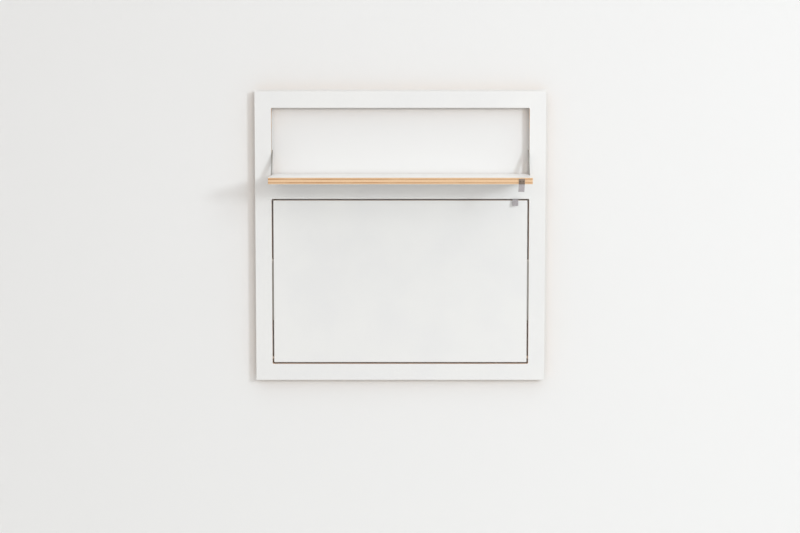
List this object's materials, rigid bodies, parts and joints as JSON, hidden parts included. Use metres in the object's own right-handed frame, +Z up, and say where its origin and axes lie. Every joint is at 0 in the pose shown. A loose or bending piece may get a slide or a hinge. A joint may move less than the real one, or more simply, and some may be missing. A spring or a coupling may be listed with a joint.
{
  "type": "fold-down wall desk",
  "caption": "White plywood wall frame with a fold-down shelf above and a fold-down desk below, each cut from the board and held level by side struts.",
  "frame": {"origin": "on the wall's surface, in the middle of the row of wall screws that the desk hangs from, 35 mm below the frame's top edge", "axes": "+X to the right as seen from the room, +Y into the wall, +Z up; the front of the board faces -Y"},
  "size_m": [0.8, 0.2048, 0.8],
  "materials": {
    "white_laminated_plywood": "matt white laminate on both faces, bare birch plywood on every edge",
    "steel": "brushed stainless steel",
    "dark_steel": "satin, darkened",
    "zinc_screws": "zinc plated",
    "nickel_magnet": "nickel plated",
    "brass": "turned",
    "nylon": "natural nylon",
    "aluminium": "mill finish",
    "rubber": "matt, slightly soft",
    "webbing": "plain woven grey webbing"
  },
  "bodies": {
    "wall_frame": {"desk_guide_channel_left": "aluminium", "desk_guide_channel_right": "aluminium", "desk_hinge_pin_left": "steel", "desk_hinge_pin_right": "steel", "desk_hinge_spacer_left": "nylon", "desk_hinge_spacer_right": "nylon", "desk_stile_magnet_left": "nickel_magnet", "desk_stile_magnet_right": "nickel_magnet", "frame": "white_laminated_plywood", "frame_hook_rail": "aluminium", "hook_rail_screws": "zinc_screws", "shelf_guide_channel_left": "aluminium", "shelf_guide_channel_right": "aluminium", "shelf_hinge_pin_left": "steel", "shelf_hinge_pin_right": "steel", "shelf_hinge_spacer_left": "nylon", "shelf_hinge_spacer_right": "nylon", "shelf_stile_magnet_left": "nickel_magnet", "shelf_stile_magnet_right": "nickel_magnet", "wall_buffers": "rubber", "wall_rail": "aluminium"},
    "shelf_flap": {"shelf_hinge_bush_left": "brass", "shelf_hinge_bush_right": "brass", "shelf_panel": "white_laminated_plywood", "shelf_panel_magnet_left": "nickel_magnet", "shelf_panel_magnet_right": "nickel_magnet", "shelf_strut_pin_left": "steel", "shelf_strut_pin_right": "steel", "shelf_tab_plate": "dark_steel", "shelf_tab_root": "webbing", "shelf_tab_screws": "zinc_screws"},
    "desk_flap": {"desk_hinge_bush_left": "brass", "desk_hinge_bush_right": "brass", "desk_panel": "white_laminated_plywood", "desk_panel_magnet_left": "nickel_magnet", "desk_panel_magnet_right": "nickel_magnet", "desk_strut_pin_left": "steel", "desk_strut_pin_right": "steel", "desk_tab_plate": "dark_steel", "desk_tab_root": "webbing", "desk_tab_screws": "zinc_screws"},
    "shelf_strut_arm_left": {"shelf_guide_pin_left": "steel", "shelf_guide_washer_left": "nylon", "shelf_strut_left": "steel"},
    "shelf_strut_arm_right": {"shelf_guide_pin_right": "steel", "shelf_guide_washer_right": "nylon", "shelf_strut_right": "steel"},
    "shelf_tab_tail": {"shelf_tab_end": "webbing"},
    "desk_strut_arm_left": {"desk_guide_pin_left": "steel", "desk_guide_washer_left": "nylon", "desk_strut_left": "steel"},
    "desk_strut_arm_right": {"desk_guide_pin_right": "steel", "desk_guide_washer_right": "nylon", "desk_strut_right": "steel"},
    "desk_tab_tail": {"desk_tab_end": "webbing"}
  },
  "joints": [
    {"name": "shelf_hinge", "type": "hinge", "parent": "wall_frame", "child": "shelf_flap", "pos_m": [0, -0.016, -0.2015], "axis": [1, 0, 0], "range_deg": [-90, 0]},
    {"name": "desk_hinge", "type": "hinge", "parent": "wall_frame", "child": "desk_flap", "pos_m": [0, -0.016, -0.703], "axis": [1, 0, 0], "range_deg": [0, 90]},
    {"name": "shelf_strut_pivot_left", "type": "hinge", "parent": "shelf_flap", "child": "shelf_strut_arm_left", "pos_m": [-0.35225, -0.063, -0.2015], "axis": [1, 0, 0], "range_deg": [0, 124.3]},
    {"name": "shelf_strut_pivot_right", "type": "hinge", "parent": "shelf_flap", "child": "shelf_strut_arm_right", "pos_m": [0.35225, -0.063, -0.2015], "axis": [1, 0, 0], "range_deg": [0, 124.3]},
    {"name": "shelf_tab_fold", "type": "hinge", "parent": "shelf_flap", "child": "shelf_tab_tail", "pos_m": [0.321, -0.203, -0.2113], "axis": [1, 0, 0], "range_deg": [0, 90]},
    {"name": "desk_strut_pivot_left", "type": "hinge", "parent": "desk_flap", "child": "desk_strut_arm_left", "pos_m": [-0.35225, -0.016, -0.596], "axis": [1, 0, 0], "range_deg": [-130.8, 0]},
    {"name": "desk_strut_pivot_right", "type": "hinge", "parent": "desk_flap", "child": "desk_strut_arm_right", "pos_m": [0.35225, -0.016, -0.596], "axis": [1, 0, 0], "range_deg": [-130.8, 0]},
    {"name": "desk_tab_fold", "type": "hinge", "parent": "desk_flap", "child": "desk_tab_tail", "pos_m": [0.316, -0.0258, -0.2645], "axis": [1, 0, 0], "range_deg": [-90, 0]}
  ],
  "couplings": [
    {"joint": "shelf_strut_pivot_left", "follows": "shelf_hinge", "ratio": -1.3806},
    {"joint": "shelf_strut_pivot_right", "follows": "shelf_hinge", "ratio": -1.3806},
    {"joint": "shelf_tab_fold", "follows": "shelf_hinge", "ratio": -1},
    {"joint": "desk_strut_pivot_left", "follows": "desk_hinge", "ratio": -1.4525},
    {"joint": "desk_strut_pivot_right", "follows": "desk_hinge", "ratio": -1.4525},
    {"joint": "desk_tab_fold", "follows": "desk_hinge", "ratio": -1}
  ]
}
